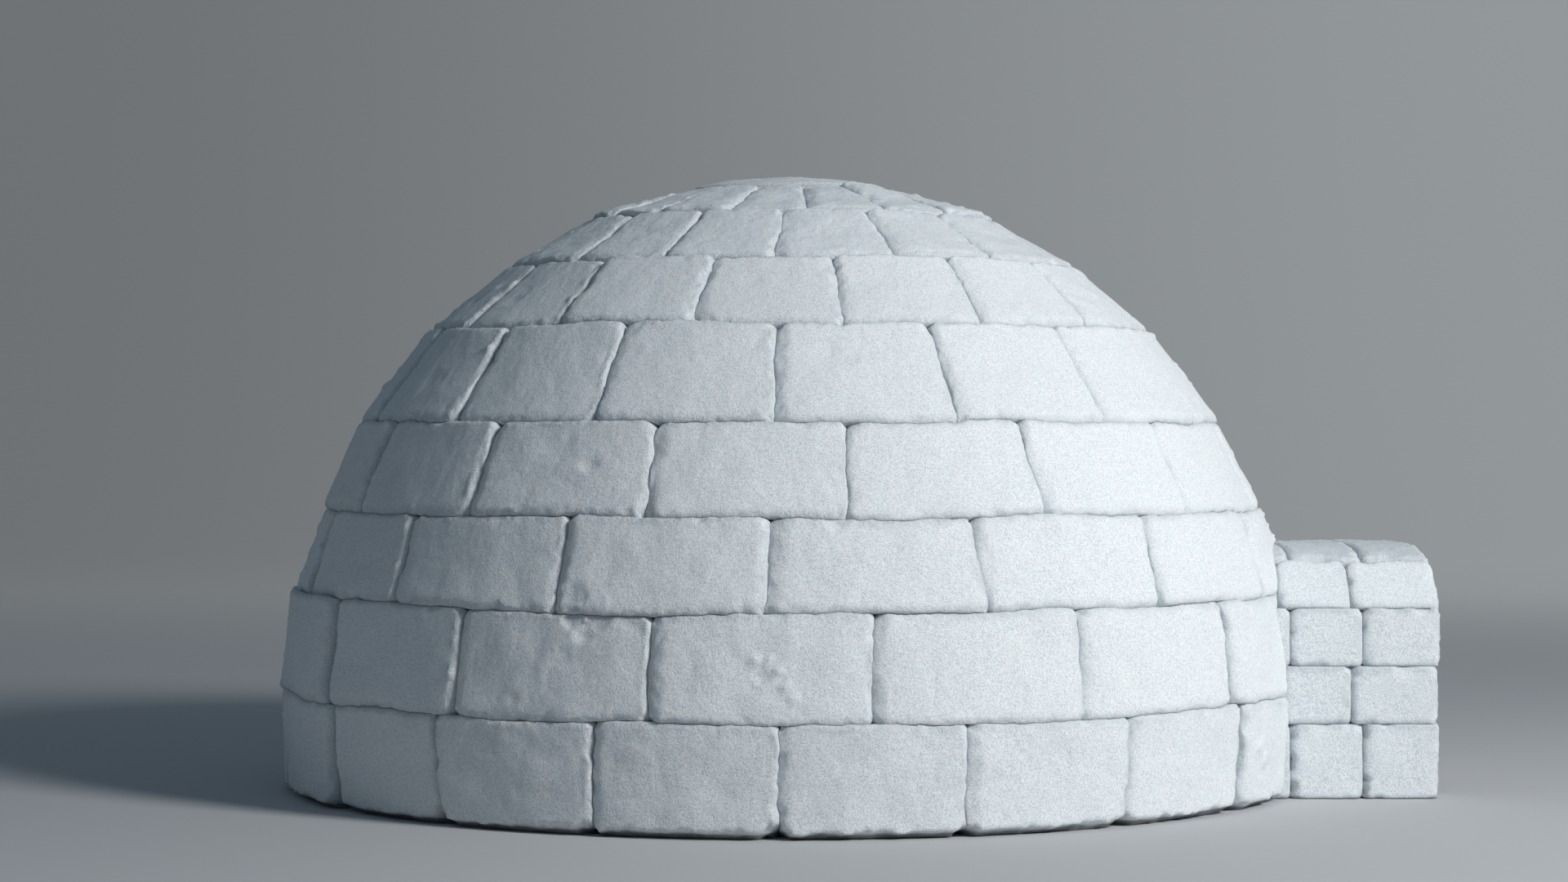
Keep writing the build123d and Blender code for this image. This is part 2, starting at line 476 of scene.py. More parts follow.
@dataclass(frozen=True)
class Chip:
    """A flake broken out of a block's outer face, or a lump on it where depth is under 0.

    along and up are its middle in metres from the face's lower first corner, and
    stretch is how much longer it is along than up. softness is under 1 for a flake with
    a steep rim.
    """

    along: float
    up: float
    radius: float
    depth: float
    stretch: float = 1.0
    softness: float = 1.25

    def bite(self, point: Vector, seed: float) -> float:
        """How deep the flake goes at a point of the block's outer face.

        Args:
            point: The point.
            seed: The block's own number.

        Returns:
            The depth, or 0 outside the flake.
        """
        across = (point.x - self.along) / (self.radius * self.stretch)
        away = math.hypot(across, (point.y - self.up) / self.radius)
        if away >= 1.0 + CHIP_STRAY:
            return 0.0
        away = uneven(point, CHIP_RIM, seed, away)
        if away >= 1.0:
            return 0.0
        softness = self.softness if self.depth > 0.0 else LUMP_SOFTNESS
        ripple = 1.0 + CHIP_RIPPLE.read(point, seed)
        return self.depth * (1.0 - away * away) ** softness * ripple


@dataclass(frozen=True)
class ChipKind:
    """A kind of chip: its radius, depth and stretch, or spans they are drawn from."""

    radius: Span | float
    depth: Span | float
    stretch: Span | float

    def draw(
        self, along: float, up: float, chance: random.Random, share: float = 1.0
    ) -> Chip:
        """Draws a chip of the kind.

        Args:
            along: Its middle's distance from the block's first side.
            up: Its middle's height over the block's bottom.
            chance: The block's own source of chance.
            share: Makes it shallower, where it is under 1.

        Returns:
            The chip.
        """
        radius, depth, stretch = (
            chance.uniform(*size) if isinstance(size, tuple) else size
            for size in (self.radius, self.depth, self.stretch)
        )
        return Chip(along, up, radius, depth * share, stretch)


EDGE_FLAKE = ChipKind((0.014, 0.046), (0.003, 0.009), (0.7, 1.8))
FACE_DENT = ChipKind((0.03, 0.08), 0.004, 1.5)
FOOT_CORNER = ChipKind((0.040, 0.058), (0.06, 0.09), 1.1)
JOINT_LUMP = ChipKind((0.024, 0.045), (-0.007, -0.012), (0.5, 0.9))
FACE_LUMP = ChipKind((0.020, 0.042), (-0.003, -0.009), (0.7, 1.6))
TUNNEL_NOTCH = ChipKind((0.014, 0.030), (0.016, 0.036), 1.1)
BED_NOTCH = ChipKind((0.015, 0.03), 0.012, 1.6)


@dataclass(frozen=True)
class Shoulder:
    """How the outer face slopes away to one of its edges: over what reach, how deep.

    bend is over 1 for a slope that steepens to the edge, and under 1 for an undercut.
    """

    reach: float
    drop: float
    bend: float = 1.5

    def sink(self, from_edge: float, ease: float) -> float:
        """How far the face lies in at a distance from the edge, over an eased reach."""
        share = 1.0 - from_edge / (self.reach * ease)
        return self.drop * share**self.bend if share > 0.0 else 0.0


Shoulders = tuple[Shoulder, Shoulder, Shoulder, Shoulder]


@dataclass
class SnowBlock:
    """One sawn block of snow, shaped flat and then bent into its place.

    Local axes: x along, y up the outer face, z out of it, from the lower first corner
    of the outer face. arrises are the radii worn on the first side, the last side, the
    bottom and the top, and shoulders the slopes towards them. stand is how far the face
    stands out at its bottom and at its top, and lean how much more at its last side.
    crumble is how crumbly its whole face is, between 0 and 1, which also darkens its
    colour with the shade painted into the joints, and foot how high the painted shade
    at the foot of a block on the ground goes. margin and rings are where the close grid
    lines lie, in from each edge and down from the face.
    """

    length: float
    height: float
    depth: float
    seed: float
    arrises: tuple[float, float, float, float]
    shoulders: Shoulders
    chips: list[Chip] = field(default_factory=list)
    stand: Span = (0.0, 0.0)
    lean: float = 0.0
    joint_seeds: Span = (0.0, 0.0)
    corner: float = 0.044
    corner_drop: float = 0.055
    corner_start: float = 0.75
    corner_bend: float = 1.3
    step: float = 0.0118
    relief: float = 0.012
    crumble: float = 0.0
    foot: float = 0.0
    worn_back: bool = False
    open_ends: tuple[bool, bool] = (False, False)
    margin: tuple[float, ...] = (0.0, 0.005, 0.0105, 0.0165, 0.023, 0.031)
    rings: tuple[float, ...] = (0.007, 0.015, 0.027, 0.045)
    arris_waves: Waves = (Wave(0.35, 9.0, 3.1), Wave(0.5, 31.0, 8.3))
    ease_waves: Waves = (Wave(0.5, 7.0, 1.4), Wave(0.36, 31.0, 5.9))
    hollow_waves: Waves = (Wave(0.75, 5.5), Wave(0.55, 17.0, 3.0))
    hollow_span: Span = (0.25, 1.5)
    broad_waves: Waves = (Wave(0.55, 2.9), Wave(0.42, 8.0, 5.0))
    crease: Wave = Wave(6.0, 5.3, 9.0)
    crease_depth: float = 0.12
    crust: Wave = Wave(0.0009, 21.0, 2.0)
    fuzz: Wave = Wave(0.0011, 47.0, 7.0)
    frosty_fuzz: float = 3.0
    frost_wave: Wave = Wave(0.012, 15.0, 6.0)
    frost_reach: float = 0.034
    foot_wave: Wave = Wave(0.5, 13.0, 4.4)
    foot_fade: Span = (0.8, 1.3)
    foot_depth: float = 0.06
    air_fade: Span = (0.004, 0.024)
    joint_push: float = 0.2

    def from_edges(self, point: Vector) -> Span:
        """A point's distances from the nearer side and from the nearer bed."""
        return min(point.x, self.length - point.x), min(point.y, self.height - point.y)

    def arris(self, point: Vector) -> float:
        """The radius worn on the nearest edges of the outer face.

        Args:
            point: A point of the sawn block.

        Returns:
            The radius.
        """
        first, last, bottom, top = self.arrises
        side = first if point.x < self.length / 2 else last
        bed = bottom if point.y < self.height / 2 else top
        pull_side, pull_bed = (1 / (gap + 0.004) for gap in self.from_edges(point))
        radius = (side * pull_side + bed * pull_bed) / (pull_side + pull_bed)
        return radius * uneven(point, self.arris_waves, self.seed, 1.0)

    def level(self, point: Vector) -> float:
        """How far in the outer face lies at a point, or out, where it is under 0.

        Args:
            point: A point of the sawn block.

        Returns:
            The depth below the flat face.
        """
        first, last, bottom, top = self.shoulders
        ease = uneven(point, self.ease_waves, self.seed, 1.0)
        inward = first.sink(point.x, ease) * self.hollow(point.y, self.joint_seeds[0])
        from_last = last.sink(self.length - point.x, ease)
        inward += from_last * self.hollow(point.y, self.joint_seeds[1])
        inward += bottom.sink(point.y, ease) + top.sink(self.height - point.y, ease)
        inward += self.corner_sink(point, ease)
        bites = [chip.bite(point, self.seed) for chip in self.chips]
        inward += max([0.0, *bites]) + min([0.0, *bites])
        inward -= mix(self.stand[0], self.stand[1], point.y / self.height)
        return inward - self.lean * (point.x / self.length - 0.5)

    def hollow(self, up: float, seed: float) -> float:
        """How hollow an upright joint is at a height: under 1 where snow has filled it."""
        spot = Vector((0.0, up, 0.0))
        return held(uneven(spot, self.hollow_waves, seed, 1.0), *self.hollow_span)

    def corner_sink(self, point: Vector, ease: float) -> float:
        """How much further the face lies in where two of its edges meet.

        Args:
            point: A point of the sawn block.
            ease: Widens the corner's reach here, where it is over 1.

        Returns:
            The further depth.
        """
        side, bed = (1.0 - gap / (self.corner * ease) for gap in self.from_edges(point))
        if side <= 0.0 or bed <= 0.0:
            return 0.0
        over = max(math.hypot(side, bed) - self.corner_start, 0.0)
        on_edge = max(side, bed, self.corner_start) - self.corner_start
        return self.corner_drop * (over**self.corner_bend - on_edge**self.corner_bend)

    def worn(self, point: Vector) -> Vector:
        """Where wear leaves a point of the sawn block.

        Args:
            point: A point on the flat block's surface.

        Returns:
            The point after the edges are rounded and the faces weathered.
        """
        radius = self.arris(point)
        back = radius if self.worn_back else 0.0
        core = Vector(
            (
                held(point.x, radius, self.length - radius),
                held(point.y, radius, self.height - radius),
                held(point.z, -self.depth + back, -radius),
            )
        )
        out = point - core
        if out.length < SAME_PLACE / 10:
            return point.copy()
        out.normalize()
        softened = core + out * radius
        push = self.weathering(softened) * (1.0 - eased(self.from_air(softened), *self.air_fade))
        if not self.open_ends[0 if point.x < self.length / 2 else 1]:
            out.x *= self.joint_push
        out.y *= self.joint_push
        softened += out * push
        level = self.level(point)
        softened.z = -level + softened.z * (1 - level / self.depth)
        return softened

    def from_air(self, point: Vector) -> float:
        """Distance from a point of the block to the nearest face in the open.

        Args:
            point: The point.

        Returns:
            The distance.
        """
        gaps = [-point.z]
        if self.worn_back:
            gaps.append(self.depth + point.z)
        if self.open_ends[0]:
            gaps.append(point.x)
        if self.open_ends[1]:
            gaps.append(self.length - point.x)
        return min(gaps)

    def weathering(self, point: Vector) -> float:
        """Height of the weathered surface over the sawn one.

        Args:
            point: A point of the rounded block.

        Returns:
            The height.
        """
        crease = max(1.0 - abs(self.crease.read(point, self.seed)), 0.0)
        height = uneven(point, self.broad_waves, self.seed) - self.crease_depth * crease
        ragged = 1.0 + self.frosty_fuzz * self.frost(point)
        skin = self.crust.read(point, self.seed) - self.crust.size / 2
        skin += ragged * (self.fuzz.read(point, self.seed) - self.fuzz.size / 2)
        return self.relief * height + skin

    def frost(self, point: Vector) -> float:
        """How crumbly the snow is at a point, which also sets how much shade is painted into its
        colour: 1 in the joints, 0 out on the face.
        """
        from_edge = min(self.from_edges(point)) + self.frost_wave.read(point, self.seed)
        return max(1.0 - eased(from_edge, 0.0, self.frost_reach), self.crumble)

    def foot_shade_share(self, point: Vector) -> float:
        """How much shade is painted at the foot, darkening the snow at a point: 1 at the foot, 0
        above it.

        Args:
            point: A point of the sawn block.

        Returns:
            The share.
        """
        if self.foot <= 0.0 or point.z <= -self.foot_depth:
            return 0.0
        above = point.y / self.foot + self.foot_wave.read(point, self.seed)
        return 1.0 - eased(above, *self.foot_fade)

    def carve(self, mesh: bmesh.types.BMesh, place: Placer) -> None:
        """Adds the finished block to a mesh.

        Args:
            mesh: The mesh of all the node's blocks.
            place: Bends a point of the flat block into the row frame.
        """
        verts = self.grid(mesh, 0.0)
        edges = {edge for vert in verts for edge in vert.link_edges}
        rim = [edge for edge in edges if edge.is_boundary]
        for ring in (*self.rings, self.depth):
            grown = bmesh.ops.extrude_edge_only(mesh, edges=rim)["geom"]
            rim = [part for part in grown if isinstance(part, bmesh.types.BMEdge)]
            rim = [edge for edge in rim if edge.is_boundary]
            fresh = [part for part in grown if isinstance(part, bmesh.types.BMVert)]
            for vert in fresh:
                vert.co.z = -ring
            verts.extend(fresh)
        if self.worn_back:
            verts.extend(self.grid(mesh, -self.depth))
            bmesh.ops.remove_doubles(mesh, verts=verts, dist=SAME_PLACE)
            verts = [vert for vert in verts if vert.is_valid]
        else:
            bmesh.ops.contextual_create(mesh, geom=rim)
        faces = list({face for vert in verts for face in vert.link_faces})
        bmesh.ops.recalc_face_normals(mesh, faces=faces)
        # frost sets the crumb bumps and the shade painted into the joints; foot sets the shade
        # painted at the foot.
        frost, foot = mesh.verts.layers.float["frost"], mesh.verts.layers.float["foot"]
        for vert in verts:
            vert[frost], vert[foot] = self.frost(vert.co), self.foot_shade_share(vert.co)
            vert.co = place(self.worn(vert.co))
        for face in faces:
            face.smooth = len(face.verts) == 4

    def grid(self, mesh: bmesh.types.BMesh, level: float) -> list[bmesh.types.BMVert]:
        """Adds a grid of the block's own lines, parallel to its outer face.

        Args:
            mesh: The mesh of all the node's blocks.
            level: The grid's local z.

        Returns:
            The grid's points.
        """
        columns = stations(self.length, self.margin, self.step)
        rows = stations(self.height, self.margin, self.step)
        across, upward = len(columns) - 1, len(rows) - 1
        verts = bmesh.ops.create_grid(
            mesh, x_segments=across, y_segments=upward, size=0.5
        )["verts"]
        for vert in verts:
            column = round((vert.co.x + 0.5) * across)
            row = round((vert.co.y + 0.5) * upward)
            vert.co = (columns[column], rows[row], level)
        return list(verts)


def snow_mesh() -> bmesh.types.BMesh:
    """Starts a mesh that can carry how crumbly its snow is, which also sets the shade painted
    into its joints, and how much shade is painted at its foot.

    Returns:
        The empty mesh.
    """
    mesh = bmesh.new()
    mesh.verts.layers.float.new("frost")
    mesh.verts.layers.float.new("foot")
    return mesh


def finished_piece(
    name: str, mesh: bmesh.types.BMesh, material: bpy.types.Material
) -> bpy.types.Object:
    """Turns a mesh into a piece that stands for the CAD node of the same place.

    Args:
        name: The CAD node's name.
        mesh: The piece's mesh, which is used up.
        material: Its finish.

    Returns:
        The new object, riding on the row's one body.
    """
    piece = mesh_object(f"{name}_snow", mesh, material)
    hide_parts(name)
    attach(piece, "root")
    triangles = sum(len(face.vertices) - 2 for face in piece.data.polygons)
    LOG.info("%s: %d triangles", piece.name, triangles)
    return piece


# -------------------------------------------------------------------------- the dome


@dataclass(frozen=True)
class Bed:
    """The ends of a bed in the dome's upright half-plane, as radius and height."""

    outer: Vector
    inner: Vector


def wall_spot(low: Bed, high: Bed, up: float, inward: float) -> Vector:
    """The radius and height at a place between two beds of the wall."""
    outer = low.outer.lerp(high.outer, up)
    return outer.lerp(low.inner.lerp(high.inner, up), inward)


@dataclass(frozen=True)
class CoursePlan:
    """How one ring of the dome is laid.

    climb is its angle on the outline's ellipse, blocks how many a whole ring would
    have, and first_joint the bearing of the joint nearest to -Y. far_side and
    near_side are how far its blocks stand out on the side away from the entrance and
    on the entrance's side, at their bottom and at their top. relief is the height of
    its faces' waves, and edge how deep its upright joints are worn, as a share.
    """

    climb: float
    blocks: int
    first_joint: float
    far_side: Span
    near_side: Span
    relief: float
    edge: float

    @property
    def block_turn(self) -> float:
        """The angle about the axis that a block takes."""
        return 360 / self.blocks


@dataclass(frozen=True)
class Scar:
    """A dent that one block of the dome carries, or a lump where depth is under 0.

    bearing is in degrees from -Y towards +X, and up is its share of the block's height.
    """

    course: int
    bearing: float
    up: float
    radius: float
    depth: float
    stretch: float = 1.0
    softness: float = 1.25


@dataclass(frozen=True)
class Vault:
    """The tunnel's outer cross-section, in metres."""

    half_width: float = 0.700
    springing: float = 0.727
    haunch_rise: float = 0.177
    haunch_lean: float = 0.150
    camber: float = 0.050
    thickness: float = 0.200
    rows: tuple[float, ...] = (0.0, 0.283, 0.502, 0.727)
    gap: float = 0.004

    @property
    def shoulder(self) -> float:
        """Half the width of the crown block."""
        return self.half_width - self.haunch_lean

    @property
    def haunch_top(self) -> float:
        """Height of the crown block's two upper edges."""
        return self.springing + self.haunch_rise

    def crown_height(self, across: float) -> float:
        """Height of the crown's top at a distance from the middle."""
        return self.haunch_top + self.camber * (1 - (across / self.shoulder) ** 4)

    def height_at(self, across: float) -> float:
        """Height of the vault's outside, or 0 beside it.

        Args:
            across: The distance from its middle.

        Returns:
            The height.
        """
        across = abs(across)
        if across <= self.shoulder:
            return self.crown_height(across) + self.gap
        if across <= self.half_width:
            share = (across - self.shoulder) / self.haunch_lean
            return self.haunch_top - share * self.haunch_rise + self.gap
        return 0.0

    def half_width_at(self, height: float) -> float:
        """Half the vault's outside width at a height."""
        above = held((height - self.springing) / self.haunch_rise, 0.0, 1.0)
        return self.half_width - above * self.haunch_lean + self.gap


@dataclass(frozen=True)
class JointLine:
    """An upright joint: its bearing, and how it strays from an upright line.

    at_entrance is -1 or 1 where it is the doorway's first or last side, and else 0.
    Each of its waves is a size, the waves in the course's height, a share of the
    joint's key, and a number that sets it apart from the others.
    """

    bearing: float
    key: int
    at_entrance: int = 0
    shift: float = 0.005
    lean: float = 0.022
    waves: tuple[tuple[float, ...], ...] = (
        (0.012, 2.4, 0.61, 4.0),
        (0.006, 9.0, 0.37, 8.0),
        (0.0035, 19.0, 0.53, 2.0),
    )

    def stray(self, share_up: float) -> float:
        """Its distance in metres from its bearing.

        Args:
            share_up: The share of the course's height.

        Returns:
            The distance.
        """
        chance = random.Random(self.key)
        shift = chance.uniform(-self.shift, self.shift)
        lean = chance.uniform(-self.lean, self.lean)
        crooked = sum(
            size * noise.noise(Vector((share_up * count, self.key * part, apart)))
            for size, count, part, apart in self.waves
        )
        return shift + lean * (share_up - 0.5) + crooked


@dataclass
class KingBlock:
    """The round plug that closes the dome.

    seat is the dome's highest bed, top the peak of its outline, and most_z the level
    that no snow passes. rim_reach and rim_drop are how its edge rounds off.
    """

    finish: bpy.types.Material
    seat: Bed
    axis_x: float
    top: float
    most_z: float
    gap: float = 0.004
    step: float = 0.013
    rim_reach: float = 0.03
    rim_drop: float = 0.012
    wall_shares: tuple[float, ...] = (0.08, 0.2, 0.45, 1.0)
    fade: float = 0.05
    crumble: float = 0.3
    sunk: float = 0.003
    settling: float = 0.005
    waves: Waves = (Wave(0.008, 6.0, 77.0), Wave(0.003, 24.0, 79.0), Wave(0.0015, 45.0, 78.0))

    @property
    def rim(self) -> Vector:
        """The radius and height of its upper edge."""
        return Vector((self.seat.outer.x - self.gap, self.seat.outer.y - self.gap))

    def profile(self) -> list[Vector]:
        """Draws half its section, from the top of its cap down to its underside.

        Returns:
            The points in the XZ plane.
        """
        rim = self.rim
        rise = self.top - rim.y
        cap_radius = (rim.x**2 + rise**2) / (2 * rise)
        half_turn = math.asin(rim.x / cap_radius)
        steps = round(rim.x / self.step)
        points = []
        for step in range(steps + 1):
            turn = half_turn * step / steps
            away = cap_radius * math.sin(turn)
            edge = eased(away, rim.x - self.rim_reach, rim.x)
            drop = cap_radius * (1 - math.cos(turn)) + self.rim_drop * edge**2
            points.append(Vector((away - self.gap * edge, 0.0, self.top - drop)))
        for share in self.wall_shares:
            wall = self.seat.outer.lerp(self.seat.inner, share)
            points.append(Vector((wall.x - self.gap, 0.0, wall.y)))
        return [*points, Vector((0.0, 0.0, self.seat.inner.y))]

    def build(self) -> bpy.types.Object:
        """Builds the block as a piece.

        Returns:
            The piece.
        """
        mesh = snow_mesh()
        spin(mesh, self.profile())
        frost, rim = mesh.verts.layers.float["frost"], self.rim
        for vert in mesh.verts:
            # The frost share gives the rim crumb bumps and the shade painted into the joints, and
            # the whole block some of both.
            near_rim = eased(vert.co.xy.length, rim.x - self.fade, rim.x)
            vert[frost] = max(near_rim, self.crumble)
            exposed = eased(vert.co.z, rim.y - self.fade, rim.y)
            relief = uneven(vert.co, self.waves, 0.0) - self.sunk
            vert.co.z = kept_in(vert.co.z + exposed * relief, self.most_z, self.settling)
            vert.co.x += self.axis_x
        return finished_piece("dome_king_block", mesh, self.finish)


@dataclass
class Dome:
    """The block dome: eight staggered courses that lean in towards a king block.

    Bearings are in degrees from -Y towards +X. Each bed wave is a size, its waves in a
    metre and a number that sets the beds apart. shade and outline are the bearings of
    blocks that carry lumps at their joints and on their faces.
    """

    finish: bpy.types.Material
    vault: Vault
    radius: float = 2.0
    widest_level: float = 0.32
    crown_rise: float = 2.085
    wall: float = 0.2
    entrance: float = 90.0
    entrance_reach: float = 30.0
    least_share: float = 0.4
    room: float = 0.0006
    settling: float = 0.012
    plans: tuple[CoursePlan, ...] = (
        CoursePlan(10.8, 19, -1.4, (0.016, 0.016), (0.020, 0.020), 0.014, 0.95),
        CoursePlan(10.6, 16, 8.2, (0.024, 0.032), (0.018, 0.022), 0.014, 0.92),
        CoursePlan(9.3, 16, -2.5, (0.010, -0.013), (0.016, 0.002), 0.010, 0.92),
        CoursePlan(10.4, 16, 6.2, (-0.005, 0.015), (-0.002, -0.003), 0.009, 0.9),
        CoursePlan(12.5, 16, -2.3, (0.019, 0.019), (0.005, 0.001), 0.007, 0.75),
        CoursePlan(11.0, 16, 7.5, (0.010, -0.003), (0.004, 0.001), 0.007, 0.7),
        CoursePlan(10.7, 16, -2.5, (0.003, 0.000), (0.004, -0.002), 0.012, 0.7),
        CoursePlan(11.8, 16, 5.2, (0.020, -0.008), (0.019, -0.009), 0.014, 0.55),
    )
    scars: tuple[Scar, ...] = (
        Scar(2, -2.8, 0.45, 0.032, 0.008, 1.1),
        Scar(2, -4.1, 0.35, 0.020, 0.006, 1.2),
        Scar(2, -3.6, 0.58, 0.021, -0.009, 1.2),
        Scar(2, -2.2, 0.60, 0.021, -0.009, 1.2),
        Scar(2, -1.1, 0.49, 0.021, -0.009, 1.0),
        Scar(2, -0.3, 0.36, 0.022, -0.009, 1.0),
        Scar(2, 0.5, 0.25, 0.024, -0.007, 1.2),
        Scar(2, -1.7, 0.28, 0.030, 0.006, 1.3),
        Scar(2, -22.7, 0.96, 0.042, 0.013, 1.0, 0.45),
        Scar(2, -21.5, 0.85, 0.038, 0.010, 1.0, 0.45),
        Scar(2, -20.1, 0.97, 0.046, 0.012, 1.1, 0.45),
        Scar(2, -16.4, 0.93, 0.050, 0.006, 1.0, 0.5),
        Scar(2, -24.0, 0.55, 0.060, 0.005, 1.4),
        Scar(3, -23.2, 0.12, 0.060, 0.010, 1.2, 0.5),
        Scar(3, 4.5, 0.95, 0.040, 0.009, 1.6),
        Scar(4, -23.6, 0.51, 0.036, 0.007, 1.2),
        Scar(4, 5.5, 0.35, 0.075, 0.005, 1.8),
        Scar(5, -24.0, 0.92, 0.050, 0.009, 1.2),
    )
    bed_waves: tuple[tuple[float, ...], ...] = (
        (0.013, 1.9, 3.7),
        (0.008, 5.5, 9.1),
        (0.004, 21.0, 5.3),
        (0.003, 44.0, 2.9),
    )
    far_bearing: float = -81.0
    near_bearing: float = 75.0
    side_fade: Span = (13.0, 32.0)
    innermost: float = -0.009
    outermost: Span = (0.002, 0.008)
    flat_reach: float = 25.0
    flakes: tuple[int, int] = (4, 8)
    upright_flakes: float = 0.45
    joint_lumps: tuple[int, int] = (1, 3)
    shade: Span = (-85.0, -38.0)
    face_lumps: tuple[int, int] = (10, 3)
    outline: Span = (62.0, 118.0)
    dented: float = 0.5
    top_crumble: float = 0.3
    top_flaking: float = 0.6

    def __post_init__(self) -> None:
        """Finds the axis and the beds."""
        low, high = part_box("dome_course_4")
        self.axis_x = (low[0] + high[0]) / 2
        self.least_x = CAD_BOUNDS[0][0] + self.room
        self.most_y = CAD_BOUNDS[1][1] - self.room
        angle = -math.asin(self.widest_level / self.crown_rise)
        self.beds = [self.bed(angle, on_ground=True)]
        for plan in self.plans:
            angle += math.radians(plan.climb)
            self.beds.append(self.bed(angle, on_ground=False))

    def bed(self, angle: float, on_ground: bool) -> Bed:
        """Lays a bed.

        Args:
            angle: Its angle on the outline's ellipse.
            on_ground: Whether it is the foot of the first course.

        Returns:
            The bed.
        """
        across, up = math.cos(angle), math.sin(angle)
        outer = Vector((self.radius * across, self.widest_level + self.crown_rise * up))
        inward = Vector((-across / self.radius, -up / self.crown_rise)).normalized()
        if on_ground:
            outer.y = 0.0
            inward = Vector((-1.0, 0.0))
        return Bed(outer, outer + inward * self.wall)

    def bed_wave(self, bed: int, bearing: float) -> float:
        """How far a bed strays up or down its course.

        Args:
            bed: The bed, counted from the ground's.
            bearing: Where on the ring, in degrees.

        Returns:
            The distance in metres.
        """
        if bed in (0, len(self.plans)):
            return 0.0
        turn = math.radians(bearing)
        ring = Vector((math.sin(turn), math.cos(turn), 0.0)) * self.beds[bed].outer.x
        return sum(
            size * noise.noise(ring * per_metre + Vector((0, 0, apart * bed)))
            for size, per_metre, apart in self.bed_waves
        )

    def joints(self, course: int) -> list[JointLine]:
        """Finds a course's upright joints.

        Args:
            course: The course, counted from 0.

        Returns:
            The joints in order, from the far side round to it again.
        """
        plan = self.plans[course]
        first = plan.first_joint - plan.block_turn * (plan.blocks // 2)
        lines = [
            JointLine(first + plan.block_turn * place, 100 * course + place)
            for place in range(plan.blocks)
        ]
        if self.beds[course + 1].outer.y >= self.vault.crown_height(0.0):
            return lines
        radius = self.beds[course].outer.x
        half_gap = math.degrees(math.asin(self.vault.half_width / radius))
        clear = half_gap + self.least_share * plan.block_turn
        lines = [line for line in lines if abs(line.bearing - self.entrance) >= clear]
        lines.append(JointLine(self.entrance - half_gap, 100 * course + 50, -1))
        lines.append(JointLine(self.entrance + half_gap, 100 * course + 51, 1))
        return sorted(lines, key=lambda line: line.bearing)

    def stand(self, course: int, bearing: float, chance: random.Random) -> Span:
        """How far a block stands out from the outline, at its bottom and its top.

        Args:
            course: The block's course, counted from 0.
            bearing: The bearing of its middle.
            chance: The block's own source of chance.

        Returns:
            The two distances.
        """
        plan = self.plans[course]
        outermost = self.outermost[0 if course < 2 else 1]
        own = [chance.uniform(self.innermost, outermost) for _ in range(2)]
        turned = turned_back(bearing)
        far = 1.0 - eased(abs(turned - self.far_bearing), *self.side_fade)
        near = 1.0 - eased(abs(turned - self.near_bearing), *self.side_fade)
        low, high = (
            far * plan.far_side[end]
            + near * plan.near_side[end]
            + (1.0 - far - near) * own[end]
            for end in range(2)
        )
        return low, high

    def bearing_of(self, line: JointLine, share_up: float, spot: Vector) -> float:
        """The bearing of a joint at a place in the wall.

        Args:
            line: The joint.
            share_up: The share of the course's height.
            spot: The place's radius and height.

        Returns:
            The bearing in degrees.
        """
        if line.at_entrance:
            half = math.asin(held(self.vault.half_width_at(spot.y) / spot.x, 0.0, 1.0))
            return self.entrance + line.at_entrance * math.degrees(half)
        return line.bearing + math.degrees(line.stray(share_up) / spot.x)

    def placer(
        self, course: int, first: JointLine, last: JointLine, size: Vector
    ) -> Placer:
        """Makes the function that bends a flat block into its place in the wall.

        Args:
            course: The block's course, counted from 0.
            first: The joint at the block's local x of 0.
            last: The joint at its other side.
            size: The flat block's length, height and depth.

        Returns:
            The placer.
        """
        low, high = self.beds[course], self.beds[course + 1]
        middle = (first.bearing + last.bearing) / 2
        beside_tunnel = first.at_entrance or last.at_entrance
        over_tunnel = low.inner.y < self.vault.crown_height(0.0) and not beside_tunnel

        def place(point: Vector) -> Vector:
            """Bends one point.

            Args:
                point: A point of the flat block.

            Returns:
                Its place in the wall.
            """
            share, up = point.x / size.x, held(point.y / size.y, 0.0, 1.0)
            inward = -point.z / size.z
            spot = wall_spot(low, high, up, inward)
            ends = [self.bearing_of(line, up, spot) for line in (first, last)]
            bearing = mix(*ends, share)
            strays = [self.bed_wave(bed, bearing) for bed in (course, course + 1)]
            up += mix(*strays, up) / size.y
            if over_tunnel and abs(bearing - self.entrance) < self.entrance_reach:
                across = spot.x * math.cos(math.radians(bearing))
                bottom = mix(low.outer.y, low.inner.y, inward)
                top = mix(high.outer.y, high.inner.y, inward)
                cut = (self.vault.height_at(across) - bottom) / (top - bottom)
                up = mix(max(cut, 0.0), 1.0, up)
            aside = held(bearing - middle, -self.flat_reach, self.flat_reach)
            flat = 1 / math.cos(math.radians(aside))
            spot = wall_spot(low, high, up, inward)
            radius = spot.x + mix(low.inner.x, high.inner.x, up) * (flat - 1) * inward
            turn = math.radians(bearing)
            x, y = self.axis_x + radius * math.sin(turn), -radius * math.cos(turn)
            kept_x = -kept_in(-x, -self.least_x, self.settling)
            kept_y = math.copysign(kept_in(abs(y), self.most_y, self.settling), y)
            return Vector((kept_x, kept_y, max(spot.y, 0.0)))

        return place

